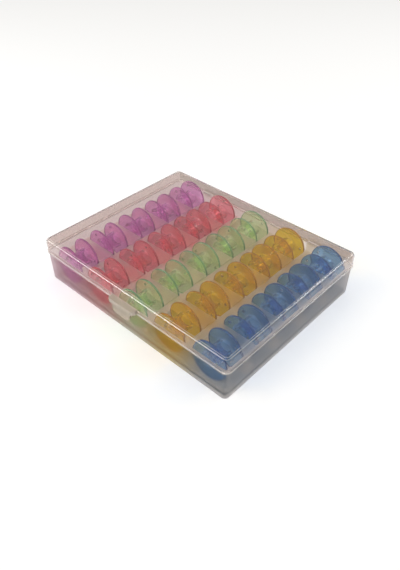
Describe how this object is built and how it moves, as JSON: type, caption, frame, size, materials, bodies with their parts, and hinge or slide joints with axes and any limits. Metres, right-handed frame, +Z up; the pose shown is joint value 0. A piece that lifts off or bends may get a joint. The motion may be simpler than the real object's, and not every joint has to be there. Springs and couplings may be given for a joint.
{
  "type": "thread spool storage box",
  "caption": "Flat hinged box with a clear lid and a frosted base; a tray inside holds tinted clear sewing-machine bobbins upright in colour-sorted columns.",
  "frame": {"origin": "centre of the base's underside, which stands on the table", "axes": "+X across the columns, from the purple to the blue bobbins; +Y from the latch at the front to the hinges at the back, along the bobbins' axes; +Z up"},
  "size_m": [0.1324, 0.1139, 0.0273],
  "materials": {
    "clear_plastic": "clear, polished",
    "frosted_plastic": "frosted, translucent",
    "purple_plastic": "clear, tinted, polished",
    "red_plastic": "clear, tinted, polished",
    "green_plastic": "clear, tinted, polished",
    "yellow_plastic": "clear, tinted, polished",
    "blue_plastic": "clear, tinted, polished"
  },
  "bodies": {
    "case": {"base": "frosted_plastic", "tray": "frosted_plastic"},
    "lid": {"lid": "clear_plastic"},
    "bobbin_purple_1": {"bobbin_purple_1": "purple_plastic"},
    "bobbin_purple_2": {"bobbin_purple_2": "purple_plastic"},
    "bobbin_purple_3": {"bobbin_purple_3": "purple_plastic"},
    "bobbin_purple_4": {"bobbin_purple_4": "purple_plastic"},
    "bobbin_purple_5": {"bobbin_purple_5": "purple_plastic"},
    "bobbin_red_1": {"bobbin_red_1": "red_plastic"},
    "bobbin_red_2": {"bobbin_red_2": "red_plastic"},
    "bobbin_red_3": {"bobbin_red_3": "red_plastic"},
    "bobbin_red_4": {"bobbin_red_4": "red_plastic"},
    "bobbin_red_5": {"bobbin_red_5": "red_plastic"},
    "bobbin_green_1": {"bobbin_green_1": "green_plastic"},
    "bobbin_green_2": {"bobbin_green_2": "green_plastic"},
    "bobbin_green_3": {"bobbin_green_3": "green_plastic"},
    "bobbin_green_4": {"bobbin_green_4": "green_plastic"},
    "bobbin_green_5": {"bobbin_green_5": "green_plastic"},
    "bobbin_yellow_1": {"bobbin_yellow_1": "yellow_plastic"},
    "bobbin_yellow_2": {"bobbin_yellow_2": "yellow_plastic"},
    "bobbin_yellow_3": {"bobbin_yellow_3": "yellow_plastic"},
    "bobbin_yellow_4": {"bobbin_yellow_4": "yellow_plastic"},
    "bobbin_yellow_5": {"bobbin_yellow_5": "yellow_plastic"},
    "bobbin_blue_1": {"bobbin_blue_1": "blue_plastic"},
    "bobbin_blue_2": {"bobbin_blue_2": "blue_plastic"},
    "bobbin_blue_3": {"bobbin_blue_3": "blue_plastic"},
    "bobbin_blue_4": {"bobbin_blue_4": "blue_plastic"},
    "bobbin_blue_5": {"bobbin_blue_5": "blue_plastic"}
  },
  "joints": [
    {"name": "lid_hinge", "type": "hinge", "parent": "case", "child": "lid", "pos_m": [0, 0.0554, 0.0165], "axis": [-1, 0, 0], "range_deg": [0, 180]},
    {"name": "bobbin_purple_1_spin", "type": "hinge", "parent": "case", "child": "bobbin_purple_1", "pos_m": [-0.0502, -0.0422, 0.01455], "axis": [0, 1, 0], "continuous": true},
    {"name": "bobbin_purple_2_spin", "type": "hinge", "parent": "case", "child": "bobbin_purple_2", "pos_m": [-0.0502, -0.02085, 0.01455], "axis": [0, 1, 0], "continuous": true},
    {"name": "bobbin_purple_3_spin", "type": "hinge", "parent": "case", "child": "bobbin_purple_3", "pos_m": [-0.0502, 0.0005, 0.01455], "axis": [0, 1, 0], "continuous": true},
    {"name": "bobbin_purple_4_spin", "type": "hinge", "parent": "case", "child": "bobbin_purple_4", "pos_m": [-0.0502, 0.02185, 0.01455], "axis": [0, 1, 0], "continuous": true},
    {"name": "bobbin_purple_5_spin", "type": "hinge", "parent": "case", "child": "bobbin_purple_5", "pos_m": [-0.0502, 0.0432, 0.01455], "axis": [0, 1, 0], "continuous": true},
    {"name": "bobbin_red_1_spin", "type": "hinge", "parent": "case", "child": "bobbin_red_1", "pos_m": [-0.0247, -0.0422, 0.01455], "axis": [0, 1, 0], "continuous": true},
    {"name": "bobbin_red_2_spin", "type": "hinge", "parent": "case", "child": "bobbin_red_2", "pos_m": [-0.0247, -0.02085, 0.01455], "axis": [0, 1, 0], "continuous": true},
    {"name": "bobbin_red_3_spin", "type": "hinge", "parent": "case", "child": "bobbin_red_3", "pos_m": [-0.0247, 0.0005, 0.01455], "axis": [0, 1, 0], "continuous": true},
    {"name": "bobbin_red_4_spin", "type": "hinge", "parent": "case", "child": "bobbin_red_4", "pos_m": [-0.0247, 0.02185, 0.01455], "axis": [0, 1, 0], "continuous": true},
    {"name": "bobbin_red_5_spin", "type": "hinge", "parent": "case", "child": "bobbin_red_5", "pos_m": [-0.0247, 0.0432, 0.01455], "axis": [0, 1, 0], "continuous": true},
    {"name": "bobbin_green_1_spin", "type": "hinge", "parent": "case", "child": "bobbin_green_1", "pos_m": [0.0008, -0.0422, 0.01455], "axis": [0, 1, 0], "continuous": true},
    {"name": "bobbin_green_2_spin", "type": "hinge", "parent": "case", "child": "bobbin_green_2", "pos_m": [0.0008, -0.02085, 0.01455], "axis": [0, 1, 0], "continuous": true},
    {"name": "bobbin_green_3_spin", "type": "hinge", "parent": "case", "child": "bobbin_green_3", "pos_m": [0.0008, 0.0005, 0.01455], "axis": [0, 1, 0], "continuous": true},
    {"name": "bobbin_green_4_spin", "type": "hinge", "parent": "case", "child": "bobbin_green_4", "pos_m": [0.0008, 0.02185, 0.01455], "axis": [0, 1, 0], "continuous": true},
    {"name": "bobbin_green_5_spin", "type": "hinge", "parent": "case", "child": "bobbin_green_5", "pos_m": [0.0008, 0.0432, 0.01455], "axis": [0, 1, 0], "continuous": true},
    {"name": "bobbin_yellow_1_spin", "type": "hinge", "parent": "case", "child": "bobbin_yellow_1", "pos_m": [0.0263, -0.0422, 0.01455], "axis": [0, 1, 0], "continuous": true},
    {"name": "bobbin_yellow_2_spin", "type": "hinge", "parent": "case", "child": "bobbin_yellow_2", "pos_m": [0.0263, -0.02085, 0.01455], "axis": [0, 1, 0], "continuous": true},
    {"name": "bobbin_yellow_3_spin", "type": "hinge", "parent": "case", "child": "bobbin_yellow_3", "pos_m": [0.0263, 0.0005, 0.01455], "axis": [0, 1, 0], "continuous": true},
    {"name": "bobbin_yellow_4_spin", "type": "hinge", "parent": "case", "child": "bobbin_yellow_4", "pos_m": [0.0263, 0.02185, 0.01455], "axis": [0, 1, 0], "continuous": true},
    {"name": "bobbin_yellow_5_spin", "type": "hinge", "parent": "case", "child": "bobbin_yellow_5", "pos_m": [0.0263, 0.0432, 0.01455], "axis": [0, 1, 0], "continuous": true},
    {"name": "bobbin_blue_1_spin", "type": "hinge", "parent": "case", "child": "bobbin_blue_1", "pos_m": [0.0518, -0.0422, 0.01455], "axis": [0, 1, 0], "continuous": true},
    {"name": "bobbin_blue_2_spin", "type": "hinge", "parent": "case", "child": "bobbin_blue_2", "pos_m": [0.0518, -0.02085, 0.01455], "axis": [0, 1, 0], "continuous": true},
    {"name": "bobbin_blue_3_spin", "type": "hinge", "parent": "case", "child": "bobbin_blue_3", "pos_m": [0.0518, 0.0005, 0.01455], "axis": [0, 1, 0], "continuous": true},
    {"name": "bobbin_blue_4_spin", "type": "hinge", "parent": "case", "child": "bobbin_blue_4", "pos_m": [0.0518, 0.02185, 0.01455], "axis": [0, 1, 0], "continuous": true},
    {"name": "bobbin_blue_5_spin", "type": "hinge", "parent": "case", "child": "bobbin_blue_5", "pos_m": [0.0518, 0.0432, 0.01455], "axis": [0, 1, 0], "continuous": true}
  ]
}
